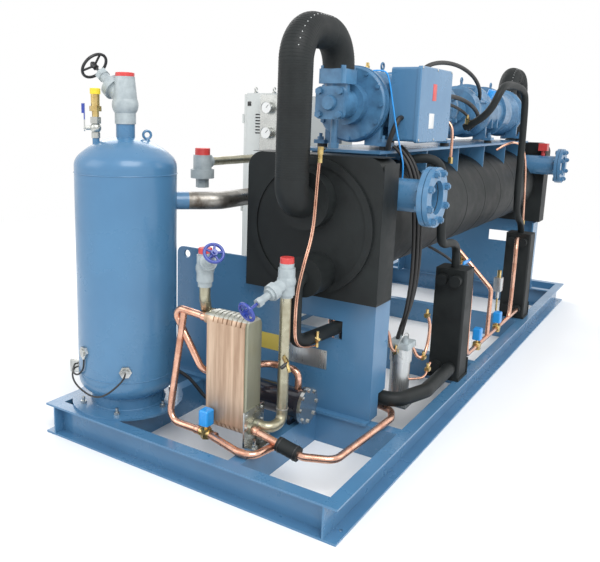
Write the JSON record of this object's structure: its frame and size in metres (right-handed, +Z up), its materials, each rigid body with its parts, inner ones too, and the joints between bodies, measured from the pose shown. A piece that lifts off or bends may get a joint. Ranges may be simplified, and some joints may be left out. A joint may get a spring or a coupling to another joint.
{
  "type": "refrigeration condensing unit",
  "caption": "skid-mounted refrigeration unit with screw compressors on an insulated shell evaporator, oil separator, plate oil cooler, service valves and control cabinet",
  "frame": {"origin": "bottom centre of the base frame, midway between its ends and its sides, on the floor", "axes": "+X along the base from the oil separator end to the far end; +Y across it from the water nozzle side to the cabinet side; +Z up"},
  "size_m": [4.6696, 1.6947, 2.109],
  "materials": {
    "blue_paint": "satin",
    "black_foam": "matte",
    "cast_blue": "satin",
    "steel": "brushed",
    "stainless": "polished",
    "copper": "polished",
    "brass": "polished",
    "grey_cast": "satin",
    "cabinet_grey": "satin",
    "wheel_blue": "gloss",
    "wheel_black": "matte",
    "coil_blue": "gloss",
    "cap_red": "matte",
    "switch_red": "gloss",
    "black_rubber": "matte",
    "black_paint": "gloss",
    "terminal_paint": "satin"
  },
  "bodies": {
    "skid": {"bearer_beams": "blue_paint", "cabinet": "cabinet_grey", "companion_flanges": "blue_paint", "compressor_bolts": "steel", "compressor_saddle": "blue_paint", "cooler_bracket": "steel", "copper_lines": "copper", "cross_beams": "blue_paint", "discharge_header": "blue_paint", "economizers": "black_foam", "end_rails": "blue_paint", "evaporator_insulation": "black_foam", "evaporator_shell": "blue_paint", "far_compressor": "cast_blue", "far_end_box": "black_foam", "far_suction_pipe": "black_foam", "far_support_plate": "blue_paint", "far_water_nozzle": "blue_paint", "filter_drier": "black_paint", "flange_bolts": "steel", "flange_gaskets": "black_rubber", "flow_switch": "switch_red", "front_heater_lead": "black_rubber", "gauge_panel": "steel", "isolators": "black_rubber", "left_heater_lead": "black_rubber", "liquid_lines": "black_foam", "motor_covers": "cast_blue", "near_compressor": "cast_blue", "near_end_box": "black_foam", "near_suction_pipe": "black_foam", "near_support_plate": "blue_paint", "near_water_nozzle": "blue_paint", "oil_cooler": "stainless", "oil_filter": "black_paint", "pipe_sleeve": "black_foam", "protective_caps": "cap_red", "relief_valve": "brass", "separator_heaters": "steel", "separator_vessel": "blue_paint", "service_valves": "grey_cast", "side_rails": "blue_paint", "solenoid_coils": "coil_blue", "solenoid_valves": "brass", "steel_pipes": "stainless", "stop_valve": "grey_cast", "suction_flanges": "steel", "suction_housings": "cast_blue", "terminal_boxes": "terminal_paint", "tube_bundle": "copper"},
    "far_door": {"far_door": "cabinet_grey"},
    "far_latch": {"far_latch": "wheel_black"},
    "lower_wheel": {"lower_wheel": "wheel_blue"},
    "near_door": {"near_door": "cabinet_grey"},
    "near_latch": {"near_latch": "wheel_black"},
    "relief_lever": {"relief_lever": "wheel_blue"},
    "stop_valve_wheel": {"stop_valve_wheel": "wheel_black"},
    "upper_wheel": {"upper_wheel": "wheel_blue"}
  },
  "joints": [
    {"name": "stop_valve_turn", "type": "hinge", "parent": "skid", "child": "stop_valve_wheel", "pos_m": [-2.025, 0.75499, 1.86062], "axis": [0, 0.7901, 0.613], "continuous": true},
    {"name": "upper_valve_turn", "type": "hinge", "parent": "skid", "child": "upper_wheel", "pos_m": [-2.15854, -0.10255, 1.04704], "axis": [-0.5002, -0.6603, 0.5602], "continuous": true},
    {"name": "lower_valve_turn", "type": "hinge", "parent": "skid", "child": "lower_wheel", "pos_m": [-2.14439, -0.2728, 0.80746], "axis": [-0.88, 0.24, -0.41], "continuous": true},
    {"name": "relief_lever_turn", "type": "hinge", "parent": "skid", "child": "relief_lever", "pos_m": [-2.1555, 0.688, 1.561], "axis": [-0.65, 0.76, 0], "range_deg": [0, 90]},
    {"name": "near_door_swing", "type": "hinge", "parent": "skid", "child": "near_door", "pos_m": [-0.643, 0.808, 1], "axis": [0, 0, 1], "range_deg": [0, 110]},
    {"name": "far_door_swing", "type": "hinge", "parent": "skid", "child": "far_door", "pos_m": [0.555, 0.808, 1], "axis": [0, 0, -1], "range_deg": [0, 110]},
    {"name": "near_latch_turn", "type": "hinge", "parent": "near_door", "child": "near_latch", "pos_m": [-0.089, 0.806, 1], "axis": [0, 1, 0], "range_deg": [0, 90]},
    {"name": "far_latch_turn", "type": "hinge", "parent": "far_door", "child": "far_latch", "pos_m": [0.001, 0.806, 1], "axis": [0, -1, 0], "range_deg": [0, 90]}
  ]
}
